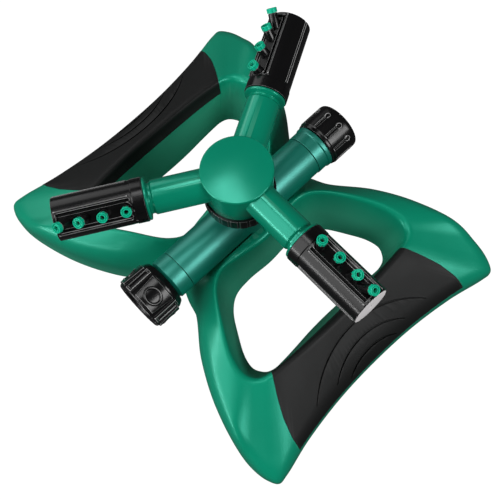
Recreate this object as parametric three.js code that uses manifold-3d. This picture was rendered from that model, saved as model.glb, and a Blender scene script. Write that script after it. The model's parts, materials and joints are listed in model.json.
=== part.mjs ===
// Three-arm rotary lawn sprinkler on a two-wing stand. Millimetres, +Z up.
// The origin is on the ground below the rotor axis. +X runs along the water
// pipe from the hose nut to the end cap, and the wings lie on either side in Y.
import * as THREE from 'three';
import { mergeVertices } from 'three/addons/utils/BufferGeometryUtils.js';
import Module from 'manifold-3d';

const wasm = await Module();
wasm.setup();

// ---------------------------------------------------------------- dimensions
const GAP = 0.3;                 // clearance between pieces that meet
const SMALL = 12;                // facets round a small piece
const MEDIUM = 20;
const LARGE = 28;                // facets round a large piece

const PIPE_HEIGHT = 52;          // height of the water pipe's axis
const PIPE_RADIUS = 14.5;
const PIPE_BORE = 11.3;
const SEAM_X = 57.5;             // the pipe ends here and the sleeves begin
const CRADLE_RADIUS = 15.6;      // trough the pipe lies in
const SHELL_WALL = 3;

const ARM_HEIGHT = 106;          // height of the three arms' axes
const ARM_RADIUS = 10.8;
const ARM_BORE = 6.4;
const ARM_ANGLES = [149, 269, 29];   // degrees from +X, at rest
const TWIST_ANGLES = [40, 10, 36];   // rest lean of each row of nozzles
const FLANGE_R = 57.5;           // outer face of the flange on each arm
const FLANGE_RADIUS = 13.3;
const SPIGOT_END_R = 73;
const SPIGOT_RADIUS = 9.3;

const HUB_RADIUS = 22;
const HUB_BOTTOM = 90.3;
const HUB_TOP = 117;
const HUB_BORE = 18.4;
const LID_RADIUS = 22.6;
const LID_EDGE = 1.2;
const LID_RISE = 1.5;

const TUBE_RADIUS = 13.5;
const TUBE_COLLAR = 13.85;       // plain band next to the arm's flange
const TUBE_START_R = FLANGE_R + GAP;
const TUBE_STEP_R = 65;          // the collar ends here
const RAIL_START_R = 67;         // the rails and the channel begin here
const CHANNEL_END_R = 110.4;     // the channel stops just before the tube's end
const TUBE_END_R = 113;
const TUBE_BORE = 8;
const TUBE_FACETS = 24;
const SOCKET_RADIUS = 10.2;      // takes the arm's spigot
const PLUG_RADIUS = 12.6;
const PLUG_THICKNESS = 1.7;
const PLUG_DEPTH = 5;
const TIP_RADIUS = 3.3;
const TIP_THICKNESS = 3;
const TIP_HEIGHT = 20;           // top of each nozzle tip above the arm's axis
const CHANNEL_FLOOR = 10.4;      // channel on either side of the nozzle strip
const CHANNEL_HALF = 5.5;
const STRIP_TOP = 11.8;          // the strip that carries the nozzles
const STRIP_HALF = 3.8;
const RAIL_RADIUS = 14.1;        // raised rail along each side of the channel
const RAIL_SIDE = [6.3, 8];      // its inner and outer side, from the middle
// where each nozzle's top stands along the arm, and how far it leans outward
const NOZZLES = [
  { r: 69.2, lean: 0 },
  { r: 83.8, lean: 12 },
  { r: 98.4, lean: 26 },
  { r: 111.4, lean: 42 },
];

const NUT_START_X = -93;
const NUT_END_X = -69.8;
const NUT_RADIUS = 18;
const NUT_PANELS = 4;
const NUT_PANEL_RADIUS = 19.3;
const NUT_TURN = 23.5;           // rest turn of the panels, from the top towards -Y
const CAP_START_X = 69.3;
const CAP_END_X = 93.2;
const CAP_RADIUS = 17.2;
const CAP_FLUTES = 10;
const CAP_TURN = 21;             // rest turn of the flutes, the same way round
const HOSE_THREAD_RADIUS = 13.2; // 3/4 inch garden hose thread

const SCREW_X = 34;

// ----------------------------------------------------------------- materials
const PLASTIC = {
  standGreen: { color: 0x1f8769, roughness: 0.5, metalness: 0 },
  pipeGreen: { color: 0x17705c, roughness: 0.35, metalness: 0 },
  rotorGreen: { color: 0x12a078, roughness: 0.35, metalness: 0 },
  softBlack: { color: 0x2a2c2b, roughness: 0.85, metalness: 0 },
  gloss: { color: 0x18181a, roughness: 0.4, metalness: 0 },
  tip: { color: 0x25c8a0, roughness: 0.4, metalness: 0 },
  plug: { color: 0xb9b7b8, roughness: 0.5, metalness: 0 },
  rubber: { color: 0x111111, roughness: 0.9, metalness: 0 },
  bearing: { color: 0xe6e4dc, roughness: 0.45, metalness: 0 },
  steel: { color: 0x9a9da0, roughness: 0.35, metalness: 1 },
};

// ------------------------------------------------------------- solid helpers
function toSolid(geometry) {
  const bare = geometry.clone();
  bare.deleteAttribute('normal');
  bare.deleteAttribute('uv');
  const merged = mergeVertices(bare, 1e-4);
  const position = merged.attributes.position;
  const index = merged.index.array;
  const corners = [];
  let volume = 0;
  const a = new THREE.Vector3();
  const b = new THREE.Vector3();
  const c = new THREE.Vector3();
  for (let i = 0; i < index.length; i += 3) {
    const [p, q, r] = [index[i], index[i + 1], index[i + 2]];
    if (p === q || q === r || r === p) continue;
    a.fromBufferAttribute(position, p);
    b.fromBufferAttribute(position, q);
    c.fromBufferAttribute(position, r);
    volume += a.dot(b.cross(c));
    corners.push(p, q, r);
  }
  if (volume < 0) corners.reverse();
  return new wasm.Manifold(new wasm.Mesh({
    numProp: 3,
    vertProperties: new Float32Array(position.array),
    triVerts: new Uint32Array(corners),
  }));
}

function unite(...solids) {
  return solids.reduce((sum, solid) => sum.add(solid));
}

function cut(solid, ...tools) {
  return tools.reduce((rest, tool) => rest.subtract(tool), solid);
}

function place(solid, { turn = [0, 0, 0], move = [0, 0, 0] }) {
  return solid.rotate(turn).translate(move);
}

// A body turned about +Z from [radius, height] corners.
function turned(corners, facets = MEDIUM) {
  const outline = corners.map(([r, z]) => new THREE.Vector2(r, z));
  const onAxis = corners[0][0] === 0 && corners[corners.length - 1][0] === 0;
  if (!onAxis) outline.push(outline[0].clone());
  const geometry = new THREE.LatheGeometry(outline, facets);
  geometry.rotateX(Math.PI / 2);
  return toSolid(geometry);
}

function ring(inner, outer, low, high, facets = MEDIUM) {
  return turned([[inner, low], [outer, low], [outer, high], [inner, high]], facets);
}

function disc(radius, low, high, facets = MEDIUM) {
  return turned([[0, low], [radius, low], [radius, high], [0, high]], facets);
}

// The same bodies lying along +X: [radius, x] corners about the X axis.
function alongX(solid) {
  return solid.rotate([0, 90, 0]);
}

function box(x0, x1, y0, y1, z0, z1) {
  const geometry = new THREE.BoxGeometry(x1 - x0, y1 - y0, z1 - z0);
  geometry.translate((x0 + x1) / 2, (y0 + y1) / 2, (z0 + z1) / 2);
  return toSolid(geometry);
}

function prism(points, low, high, steps = 6) {
  const shape = Array.isArray(points) ? new THREE.Shape(points) : points;
  const geometry = new THREE.ExtrudeGeometry(shape, {
    depth: high - low, bevelEnabled: false, curveSegments: steps,
  });
  geometry.translate(0, 0, low);
  return toSolid(geometry);
}

function toMesh(name, solid, material) {
  const { vertProperties, triVerts } = solid.getMesh();
  const geometry = new THREE.BufferGeometry();
  geometry.setAttribute('position', new THREE.BufferAttribute(new Float32Array(vertProperties), 3));
  geometry.setIndex(new THREE.BufferAttribute(new Uint32Array(triVerts), 1));
  geometry.computeVertexNormals();
  const mesh = new THREE.Mesh(geometry, new THREE.MeshStandardMaterial(material));
  mesh.name = name;
  return mesh;
}

// ------------------------------------------------------------ the stand's form
// Each wing is a ring with a hand hole. Three loops shape it, each given over
// half a wing (x >= 0) as [x, distance from the pipe's axis, height].
const EDGE_MIDDLE = 126;         // outer edge, on the wing's centre line
const EDGE_TIP_X = 98;
const EDGE_HOLLOW = 12.8;        // how much farther out the edge is at the tips
function outerEdge(x) {
  return EDGE_MIDDLE + EDGE_HOLLOW * Math.pow(Math.abs(x) / EDGE_TIP_X, 2.2);
}

const STAND_LOOPS = {
  shoulder: [
    [0, -2, 44],                 // under the riser
    [34, -2, 43],
    [58, 0, 24],                 // end of the cradle
    [66, 20, 28],                // waist
    [84.5, 45.5, 31],
    [98.5, 73, 31.5],
    [106.8, 100, 30],
    [109.2, 118, 19],            // tip
    [107.3, 131.5, 12],
    [103, 138.6, 9],
    [95.5, outerEdge(95.5), 10], // concave outer edge
    [70, outerEdge(70), 12],
    [35, outerEdge(35), 13.5],
    [0, EDGE_MIDDLE, 14],
  ],
  crest: [
    [0, 22.5, 47],
    [22, 19.5, 47],
    [36, 17.5, 47],
    [46.5, 23, 48],
    [62, 45, 48.5],
    [72, 64, 44],
    [74, 77, 40],
    [71, 84.5, 39],
    [67, 88, 39],
    [62.5, 90, 39.5],
    [55, 91.5, 40],
    [40, 93.5, 40],
    [20, 95, 40],
    [0, 95.5, 40],
  ],
  hole: [
    [0, 24.5, 0],
    [20, 23.5, 0],
    [34, 25.5, 0],
    [43.5, 32.5, 0],
    [53.5, 48, 0],
    [60.5, 62, 0],
    [62, 71, 0],
    [60, 76, 0],
    [56.5, 79.5, 0],
    [51, 81, 0],
    [45, 81, 0],
    [32, 80, 0],
    [16, 78.7, 0],
    [0, 78.2, 0],
  ],
};
const SHOULDER_ROUND = 14;
const CREST_ROUND = 5;
const BEND_STEPS = 3;
const COLUMNS_PER_SPAN = 2;

function closedLoop(half) {
  const mirrored = half.slice(1, -1).reverse().map(([x, d, z]) => [-x, d, z]);
  const points = [...half, ...mirrored].map(([x, d, z]) => new THREE.Vector3(x, d, z));
  return new THREE.CatmullRomCurve3(points, true, 'centripetal');
}

// Replaces the corner at b by points on a smooth bend between a and c.
function bend(a, b, c, reach, steps) {
  const start = b.clone().lerp(a, Math.min(0.7, reach / b.distanceTo(a)));
  const end = b.clone().lerp(c, Math.min(0.45, reach / b.distanceTo(c)));
  return new THREE.QuadraticBezierCurve3(start, b, end).getPoints(steps);
}

// The wing's surface as columns of points from the ground edge, over the
// crest, to the foot of the hole; moved outward by `swell` along its normal.
function wingColumns(swell, floor, perSpan, steps) {
  const [shoulder, crest, hole] = ['shoulder', 'crest', 'hole'].map((n) => closedLoop(STAND_LOOPS[n]));
  const count = (2 * STAND_LOOPS.crest.length - 2) * perSpan;
  const columns = [];
  for (let i = 0; i < count; i += 1) {
    const t = i / count;
    const s = shoulder.getPoint(t);
    const k = crest.getPoint(t);
    const h = hole.getPoint(t);
    const ground = new THREE.Vector3(s.x, s.y, 0);
    columns.push([
      ground,
      ...bend(ground, s, k, SHOULDER_ROUND, steps),
      ...bend(s, k, h, CREST_ROUND, steps),
      h,
    ]);
  }
  const rows = columns[0].length;
  const moved = columns.map((column, i) => column.map((point, j) => {
    const before = columns[(i + count - 1) % count][j];
    const after = columns[(i + 1) % count][j];
    const below = column[Math.max(0, j - 1)];
    const above = column[Math.min(rows - 1, j + 1)];
    const normal = after.clone().sub(before).cross(above.clone().sub(below)).normalize();
    const result = point.clone().addScaledVector(normal, swell);
    if (j === 0 || j === rows - 1) result.z = floor;
    return result;
  }));
  return moved;
}

function wingSolid(swell, floor, perSpan = COLUMNS_PER_SPAN, steps = BEND_STEPS) {
  const columns = wingColumns(swell, floor, perSpan, steps);
  const rows = columns[0].length;
  const positions = columns.flat().flatMap((p) => [p.x, -p.y, p.z]);
  const index = [];
  columns.forEach((_, i) => {
    const next = (i + 1) % columns.length;
    for (let j = 0; j < rows; j += 1) {
      const a = i * rows + j;
      const b = next * rows + j;
      const c = i * rows + ((j + 1) % rows);
      const d = next * rows + ((j + 1) % rows);
      index.push(a, b, c, b, d, c);
    }
  });
  const geometry = new THREE.BufferGeometry();
  geometry.setAttribute('position', new THREE.Float32BufferAttribute(positions, 3));
  geometry.setIndex(index);
  return toSolid(geometry);
}

// ---------------------------------------------------------------- grip pads
const PAD_DEPTH = 1.5;
const PAD_PROUD = 0.2;
const PAD_OVERHANG = 2;          // its outline passes this far outside the wing's outer wall
const PAD_FOOT = 8.5;            // its lower border on the outer wall
const PAD_INNER_FOOT = 26.5;     // its lower border on the wall of the hand hole
const PAD_INNER_REACH = 97;      // distance from the pipe's axis within which that border counts
// the pad's side border over half a wing: [x, distance from the pipe's axis]
const PAD_SIDE = [[52, 74], [57, 83], [61, 90], [68, 101.5], [74, 113], [78, 125], [79, 134]];

function padPrism(inset) {
  const edge = [79.5, 60, 40, 20, 0];
  const half = [
    ...PAD_SIDE.map(([x, d]) => [x - inset, d]),
    ...edge.map((x) => [Math.max(0, x - inset), outerEdge(x) + PAD_OVERHANG]),
  ];
  const other = half.slice(0, -1).reverse().map(([x, d]) => [-x, d]);
  const points = [...half, ...other].map(([x, d]) => new THREE.Vector2(x, -d));
  const innerWall = box(-70, 70, -PAD_INNER_REACH, 0, 0, PAD_INNER_FOOT + inset);
  return prism(points, PAD_FOOT + inset, 70).subtract(innerWall);
}

// Three nested crescent grooves in the pad: circle centre distance, radius and
// half angle; all open towards the outer edge.
const GROOVES = [
  { centre: 180, radius: 78, half: 42 },
  { centre: 166, radius: 55, half: 36 },
  { centre: 167, radius: 48, half: 27 },
];
const GROOVE_WIDTH = 1.6;
const GROOVE_DEPTH = 0.8;
const GROOVE_STEPS = 8;

function groovePrism({ centre, radius, half }) {
  const outer = [];
  const inner = [];
  for (let i = 0; i <= GROOVE_STEPS; i += 1) {
    const f = i / GROOVE_STEPS;
    const angle = THREE.MathUtils.degToRad(90 - half + 2 * half * f);
    const width = GROOVE_WIDTH * (0.15 + Math.sin(Math.PI * f)) / 1.15;
    const at = (r) => new THREE.Vector2(r * Math.cos(angle), -centre + r * Math.sin(angle));
    outer.push(at(radius + width / 2));
    inner.push(at(radius - width / 2));
  }
  return prism([...outer, ...inner.reverse()], PAD_FOOT, 70);
}

function gripPad() {
  const skin = wingSolid(PAD_PROUD, -3).subtract(wingSolid(GAP - PAD_DEPTH, -4));
  const grooveZone = unite(...GROOVES.map(groovePrism));
  const grooves = wingSolid(3, -5).subtract(wingSolid(PAD_PROUD - GROOVE_DEPTH, -6)).intersect(grooveZone);
  return skin.intersect(padPrism(GAP)).subtract(grooves);
}

// -------------------------------------------------------------------- stand
const RIB_ANGLES = [-65, -20, 20, 160, 200, 245];
const RIB_THICKNESS = 2;
const RIB_HUB = 58;              // the ribs point at the middle of the hole

function onBothSides(solid) {
  return solid.add(solid.mirror([0, 1, 0]));
}

function wingRibs() {
  const plates = RIB_ANGLES.map((angle) => place(
    box(10, 130, -RIB_THICKNESS / 2, RIB_THICKNESS / 2, 1, 60),
    { turn: [0, 0, angle], move: [0, -RIB_HUB, 0] },
  ));
  return unite(...plates).intersect(wingSolid(-1, 1, 1, 3));
}

function padRecess() {
  return wingSolid(4, -5).subtract(wingSolid(-PAD_DEPTH, -6)).intersect(padPrism(0));
}

const BOSS_RADIUS = 7.5;
const BOSS_FLOOR = 26;
const POST_RADIUS = 4.5;
const CRADLE_WALL = 2.8;
const CRADLE_RIB_X = [-22, 22];

const SCREW_HEAD_WELL = 5;

function standShell() {
  const outside = onBothSides(wingSolid(0, 0));
  const cavity = onBothSides(wingSolid(-SHELL_WALL, -2, 1, 2));
  const shell = cut(unite(outside.subtract(cavity), onBothSides(wingRibs())), onBothSides(padRecess()));
  const atPipe = (solid) => place(alongX(solid), { move: [0, 0, PIPE_HEIGHT] });
  const reach = 70;
  const cradle = atPipe(disc(CRADLE_RADIUS + CRADLE_WALL, -reach, reach, LARGE))
    .intersect(outside)
    .intersect(box(-59, 59, -25, 25, 0, PIPE_HEIGHT));
  const trough = atPipe(disc(CRADLE_RADIUS, -reach, reach, LARGE));
  const cradleRibs = CRADLE_RIB_X.map((x) => atPipe(
    ring(PIPE_RADIUS + GAP, CRADLE_RADIUS + 1, x - 1.5, x + 1.5, LARGE),
  ).intersect(box(-70, 70, -12, 12, 0, PIPE_HEIGHT - 8)));
  const atScrews = (solid) => [-SCREW_X, SCREW_X].map((x) => solid.translate([x, 0, 0]));
  const solid = cut(
    unite(shell, cradle, ...atScrews(disc(BOSS_RADIUS, BOSS_FLOOR - 3, 40))),
    trough,
    ...atScrews(disc(SCREW_HEAD_WELL, -1, BOSS_FLOOR - 3)),
  );
  return cut(
    unite(solid, ...cradleRibs),
    ...atScrews(disc(POST_RADIUS + GAP, BOSS_FLOOR, 60)),
    ...atScrews(disc(1.9, 10, 60, SMALL)),
  );
}

// ------------------------------------------------------------ water pipe tee
const RISER_RADIUS = 12.5;
const RISER_TOP = 80;
const RISER_BORE = 8.2;

function waterPipe() {
  const atPipe = (solid) => place(alongX(solid), { move: [0, 0, PIPE_HEIGHT] });
  const tube = atPipe(disc(PIPE_RADIUS, -SEAM_X, SEAM_X, LARGE));
  const riser = turned([
    [0, PIPE_HEIGHT], [RISER_RADIUS, PIPE_HEIGHT], [RISER_RADIUS, RISER_TOP - 1.5],
    [RISER_RADIUS - 1, RISER_TOP], [0, RISER_TOP],
  ], LARGE);
  const collar = disc(RISER_RADIUS + 1.5, PIPE_HEIGHT, 68.5, LARGE);
  const posts = [-SCREW_X, SCREW_X].map((x) => place(
    disc(POST_RADIUS, BOSS_FLOOR + GAP, PIPE_HEIGHT - PIPE_BORE - 1), { move: [x, 0, 0] },
  ));
  const pilots = [-SCREW_X, SCREW_X].map((x) => place(disc(1.8, 20, 38.5, SMALL), { move: [x, 0, 0] }));
  const bore = atPipe(disc(PIPE_BORE, -SEAM_X - 1, SEAM_X + 1, LARGE));
  const riserBore = disc(RISER_BORE, PIPE_HEIGHT, RISER_TOP + 1);
  return cut(unite(tube, riser, collar, ...posts), bore, riserBore, ...pilots);
}

// Both sleeves, the inlet tail, the hose nut and the cap are turned about the
// pipe's axis: corners are [radius, x].
function onPipeAxis(corners, facets = LARGE) {
  return place(alongX(turned(corners, facets)), { move: [0, 0, PIPE_HEIGHT] });
}

function inletSleeve() {
  const face = -SEAM_X - GAP;
  return onPipeAxis([
    [PIPE_RADIUS, face], [PIPE_BORE - GAP, face], [PIPE_BORE - GAP, -48], [9.2, -48], [9.2, -68.2],
    [12.6, -69.3], [PIPE_RADIUS, -67.6],
  ]);
}

function outletSleeve() {
  const face = SEAM_X + GAP;
  return onPipeAxis([
    [PIPE_BORE - GAP, face], [15, face], [15, 65.5], [15.8, 66], [15.8, 68.6], [HOSE_THREAD_RADIUS, 69],
    [HOSE_THREAD_RADIUS, 83.6], [12.4, 84.4], [9.5, 84.4], [9.5, 48], [PIPE_BORE - GAP, 48],
  ]);
}

function inletTail() {
  return onPipeAxis([
    [6.8, -50], [8.9, -50], [8.9, -69.6], [10.3, -69.6], [10.3, -75.6], [12.3, -75.6], [12.3, -78], [6.8, -78],
  ], MEDIUM);
}

function hoseWasher() {
  return onPipeAxis([[8.5, -78.3], [12.3, -78.3], [12.3, -81.3], [8.5, -81.3]], MEDIUM);
}

const SCREEN_RADIUS = 8.2;
const SCREEN_PITCH = 2.8;
const SCREEN_HOLE = 0.9;         // half side of each square hole

function filterScreen() {
  const holes = [];
  for (let i = -2; i <= 2; i += 1) {
    for (let j = -2; j <= 2; j += 1) {
      if (Math.hypot(i, j) > 2.3) continue;
      const hole = box(-82, -77, -SCREEN_HOLE, SCREEN_HOLE, -SCREEN_HOLE, SCREEN_HOLE);
      holes.push(hole.translate([0, i * SCREEN_PITCH, PIPE_HEIGHT + j * SCREEN_PITCH]));
    }
  }
  const plate = onPipeAxis([[0, -79.1], [SCREEN_RADIUS, -79.1], [SCREEN_RADIUS, -80.3], [0, -80.3]], MEDIUM);
  return cut(plate, ...holes);
}

// ---------------------------------------------------------------- hose nut
const PANEL_HALF = 10.3;
const NUT_RIB_HALF = 0.7;
const NUT_RIB_OFFSET = 4.5;      // degrees from the middle of each gap
const GRIP_SPAN = [74.5, 91.5];  // where the panels and ribs lie along the nut

function hoseNut() {
  const body = onPipeAxis([
    [16, NUT_END_X], [10.7, NUT_END_X], [10.7, -75], [HOSE_THREAD_RADIUS, -75], [HOSE_THREAD_RADIUS, NUT_START_X],
    [NUT_RADIUS - 1, NUT_START_X], [NUT_RADIUS, NUT_START_X + 1], [NUT_RADIUS, -73.2],
  ]);
  const bar = (half, turn) => box(
    -NUT_PANEL_RADIUS - 1, -HOSE_THREAD_RADIUS - 2, -half, half, ...GRIP_SPAN,
  ).rotate([0, 0, -turn]);
  const bars = [];
  for (let i = 0; i < NUT_PANELS; i += 1) {
    const turn = NUT_TURN + (360 / NUT_PANELS) * i;
    const gap = turn + 180 / NUT_PANELS;
    bars.push(bar(PANEL_HALF, turn));
    bars.push(bar(NUT_RIB_HALF, gap - NUT_RIB_OFFSET), bar(NUT_RIB_HALF, gap + NUT_RIB_OFFSET));
  }
  const envelope = disc(NUT_PANEL_RADIUS, ...GRIP_SPAN, LARGE);
  const grips = place(unite(...bars).intersect(envelope), { turn: [0, -90, 0], move: [0, 0, PIPE_HEIGHT] });
  return unite(body, grips);
}

// ------------------------------------------------------------------ end cap
const FLUTE_RADIUS = 1.3;
const FLUTE_SPAN = [72.5, 85.6];
const FLUTE_POCKET = [1.7, 82.6];   // radius of the pocket that ends each flute, and where it starts

function endCap() {
  const body = onPipeAxis([
    [HOSE_THREAD_RADIUS + GAP, CAP_START_X], [CAP_RADIUS - 0.6, CAP_START_X], [CAP_RADIUS, CAP_START_X + 0.8],
    [CAP_RADIUS, 89], [16, 91], [9, 92.6], [0, CAP_END_X], [0, 87.4], [HOSE_THREAD_RADIUS + GAP, 87.4],
  ]);
  const flutes = [];
  for (let i = 0; i < CAP_FLUTES; i += 1) {
    const pocket = disc(FLUTE_POCKET[0], FLUTE_POCKET[1], FLUTE_SPAN[1], 8);
    const flute = unite(disc(FLUTE_RADIUS, ...FLUTE_SPAN, 8), pocket).translate([-CAP_RADIUS - 0.5, 0, 0]);
    flutes.push(flute.rotate([0, 0, CAP_TURN + (360 / CAP_FLUTES) * i]));
  }
  return cut(body, place(alongX(unite(...flutes)), { move: [0, 0, PIPE_HEIGHT] }));
}

function capWasher() {
  return onPipeAxis([[8.5, 84.7], [12.9, 84.7], [12.9, 87.1], [8.5, 87.1]], MEDIUM);
}

// ------------------------------------------------------------ spindle and rotor
function spindle() {
  return turned([
    [5.4, 66], [7.9, 66], [7.9, RISER_TOP + GAP], [11.3, RISER_TOP + GAP], [11.3, 83], [8, 83.4],
    [8, 90.2], [12.4, 90.2], [12.4, 93.2], [5.4, 93.2],
  ], MEDIUM);
}

function thrustWasher() {
  return ring(8.4, 12.6, 88.3, 89.9);
}

const COLLAR_RADIUS = 23.3;
const COLLAR_FOOT = 79.5;         // lower edge of the collar's skirt
const COLLAR_KNURLS = 24;
function retainingCollar() {
  const body = turned([
    [8.4, 83.9], [COLLAR_RADIUS - 2, 83.9], [COLLAR_RADIUS - 2, COLLAR_FOOT], [COLLAR_RADIUS - 0.6, COLLAR_FOOT],
    [COLLAR_RADIUS, COLLAR_FOOT + 0.6], [COLLAR_RADIUS, 90], [HUB_BORE - GAP, 90],
    [HUB_BORE - GAP, 94], [15.7, 94], [15.7, 88], [8.4, 88],
  ], LARGE);
  const knurls = [];
  for (let i = 0; i < COLLAR_KNURLS; i += 1) {
    const notch = place(disc(1.3, COLLAR_FOOT - 1, 91, 6), { move: [COLLAR_RADIUS + 0.9, 0, 0] });
    knurls.push(notch.rotate([0, 0, (360 / COLLAR_KNURLS) * i]));
  }
  return cut(body, ...knurls);
}

function spindleSeal() {
  return ring(12.7, 15.4, 90.6, 93);
}

function atArm(solid, i) {
  return solid.rotate([0, 0, ARM_ANGLES[i]]).translate([0, 0, ARM_HEIGHT]);
}

function hubBody() {
  const core = turned([
    [0, HUB_BOTTOM], [HUB_RADIUS - 0.4, HUB_BOTTOM], [HUB_RADIUS, HUB_TOP - GAP], [0, HUB_TOP - GAP],
  ], LARGE);
  const arm = alongX(turned([
    [0, 10], [ARM_RADIUS, 10], [ARM_RADIUS, 52.5], [ARM_RADIUS - 1, 53.6], [ARM_RADIUS - 1, 55.2],
    [FLANGE_RADIUS, 56], [FLANGE_RADIUS, FLANGE_R], [SPIGOT_RADIUS, FLANGE_R],
    [SPIGOT_RADIUS, 63.8], [SPIGOT_RADIUS - 1.5, 63.8], [SPIGOT_RADIUS - 1.5, 66.2], [SPIGOT_RADIUS, 66.2],
    [SPIGOT_RADIUS, SPIGOT_END_R], [0, SPIGOT_END_R],
  ], MEDIUM));
  const bore = alongX(disc(ARM_BORE, 8, 90, SMALL));
  const arms = ARM_ANGLES.map((_, i) => atArm(arm, i));
  const bores = ARM_ANGLES.map((_, i) => atArm(bore, i));
  const chamber = disc(HUB_BORE, HUB_BOTTOM - 1, 112.5, LARGE);
  const lidSeat = disc(HUB_BORE + 0.4, 112, HUB_TOP + 1, LARGE);
  return cut(unite(core, ...arms), chamber, lidSeat, ...bores);
}

function hubLid() {
  return turned([
    [0, 112.8], [HUB_BORE, 112.8], [HUB_BORE, HUB_TOP], [LID_RADIUS, HUB_TOP], [LID_RADIUS, HUB_TOP + LID_EDGE],
    [LID_RADIUS - 1, HUB_TOP + LID_EDGE + 0.3], [0, HUB_TOP + LID_EDGE + LID_RISE],
  ], LARGE);
}

function armSeal() {
  return alongX(ring(SPIGOT_RADIUS - 1.2, 10, 64.1, 65.9));
}

// Water runs up from the bore of the tube through each nozzle post. A nozzle
// leans by its angle about the point where its axis crosses the arm's axis.
function leanTangent({ lean }) {
  return Math.tan(THREE.MathUtils.degToRad(lean));
}

function onNozzle(solid, nozzle) {
  const foot = nozzle.r - TIP_HEIGHT * leanTangent(nozzle);
  return place(solid, { turn: [0, nozzle.lean, 0], move: [foot, 0, 0] });
}

// Distance along the leaning axis at which it reaches the tips' height.
function slant({ lean }) {
  return TIP_HEIGHT / Math.cos(THREE.MathUtils.degToRad(lean));
}

function onBothFlanks(solid) {
  return solid.add(solid.mirror([0, 1, 0]));
}

const POST_FOOT = 3.4;
const POST_HEAD = 2.95;
const JET_BORE = 1.4;
const SIDE_GROOVE = 0.4;         // half width of the groove along each flank

function nozzleTube() {
  const sleeve = alongX(turned([
    [0, TUBE_START_R], [TUBE_COLLAR, TUBE_START_R], [TUBE_COLLAR, TUBE_STEP_R - 0.3], [TUBE_RADIUS, TUBE_STEP_R],
    [TUBE_RADIUS, TUBE_END_R - 0.6], [TUBE_RADIUS - 0.6, TUBE_END_R], [0, TUBE_END_R],
  ], TUBE_FACETS));
  const rails = onBothFlanks(box(RAIL_START_R, TUBE_END_R - 1, ...RAIL_SIDE, 8, 16))
    .intersect(alongX(disc(RAIL_RADIUS, RAIL_START_R, TUBE_END_R, TUBE_FACETS)));
  const channel = cut(
    box(RAIL_START_R, CHANNEL_END_R, -CHANNEL_HALF, CHANNEL_HALF, CHANNEL_FLOOR, 20),
    box(RAIL_START_R - 1, CHANNEL_END_R + 1, -STRIP_HALF, STRIP_HALF, CHANNEL_FLOOR - 1, STRIP_TOP),
  );
  const flankGrooves = onBothFlanks(box(
    RAIL_START_R, CHANNEL_END_R, TUBE_RADIUS - 0.5, TUBE_RADIUS + 1, -SIDE_GROOVE, SIDE_GROOVE,
  ));
  const posts = NOZZLES.map((n) => onNozzle(turned([
    [0, 6], [POST_FOOT, 6], [POST_HEAD, slant(n) - TIP_THICKNESS - GAP], [0, slant(n) - TIP_THICKNESS - GAP],
  ], SMALL), n));
  const jets = NOZZLES.map((n) => onNozzle(disc(JET_BORE, 3, 40, 8), n));
  const socket = alongX(disc(SOCKET_RADIUS, TUBE_START_R - 1, SPIGOT_END_R + 1, TUBE_FACETS));
  const bore = alongX(disc(TUBE_BORE, 60, TUBE_END_R - PLUG_DEPTH, TUBE_FACETS));
  const plugSeat = alongX(unite(
    disc(TUBE_BORE + 1.6, TUBE_END_R - PLUG_DEPTH, 120, TUBE_FACETS),
    disc(PLUG_RADIUS + GAP, TUBE_END_R - PLUG_THICKNESS - GAP, 120, TUBE_FACETS),
  ));
  const shaped = cut(unite(sleeve, rails), channel, flankGrooves);
  return cut(unite(shaped, ...posts), socket, bore, plugSeat, ...jets);
}

function endPlug() {
  const foot = TUBE_END_R - PLUG_DEPTH + GAP;
  const face = TUBE_END_R - PLUG_THICKNESS;
  return alongX(turned([
    [0, foot], [TUBE_BORE + 1.3, foot], [TUBE_BORE + 1.3, face], [PLUG_RADIUS, face],
    [PLUG_RADIUS, TUBE_END_R], [0, TUBE_END_R],
  ], TUBE_FACETS));
}

function nozzleTip(nozzle) {
  const top = slant(nozzle);
  return onNozzle(turned([
    [1.1, top - TIP_THICKNESS], [TIP_RADIUS, top - TIP_THICKNESS],
    [TIP_RADIUS, top - 0.3], [TIP_RADIUS - 0.3, top], [1.1, top],
  ], SMALL), nozzle);
}

function standScrew(x) {
  const screw = turned([
    [0, BOSS_FLOOR - 5.8], [3.6, BOSS_FLOOR - 5.8], [3.9, BOSS_FLOOR - 4.6], [3.9, BOSS_FLOOR - 3 - GAP],
    [1.5, BOSS_FLOOR - 3 - GAP], [1.5, 37], [0, 38],
  ], SMALL);
  return screw.translate([x, 0, 0]);
}

// ----------------------------------------------------------------- assembly
function onTwistedArm(solid, i) {
  return atArm(solid.rotate([-TWIST_ANGLES[i], 0, 0]), i);
}

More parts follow.
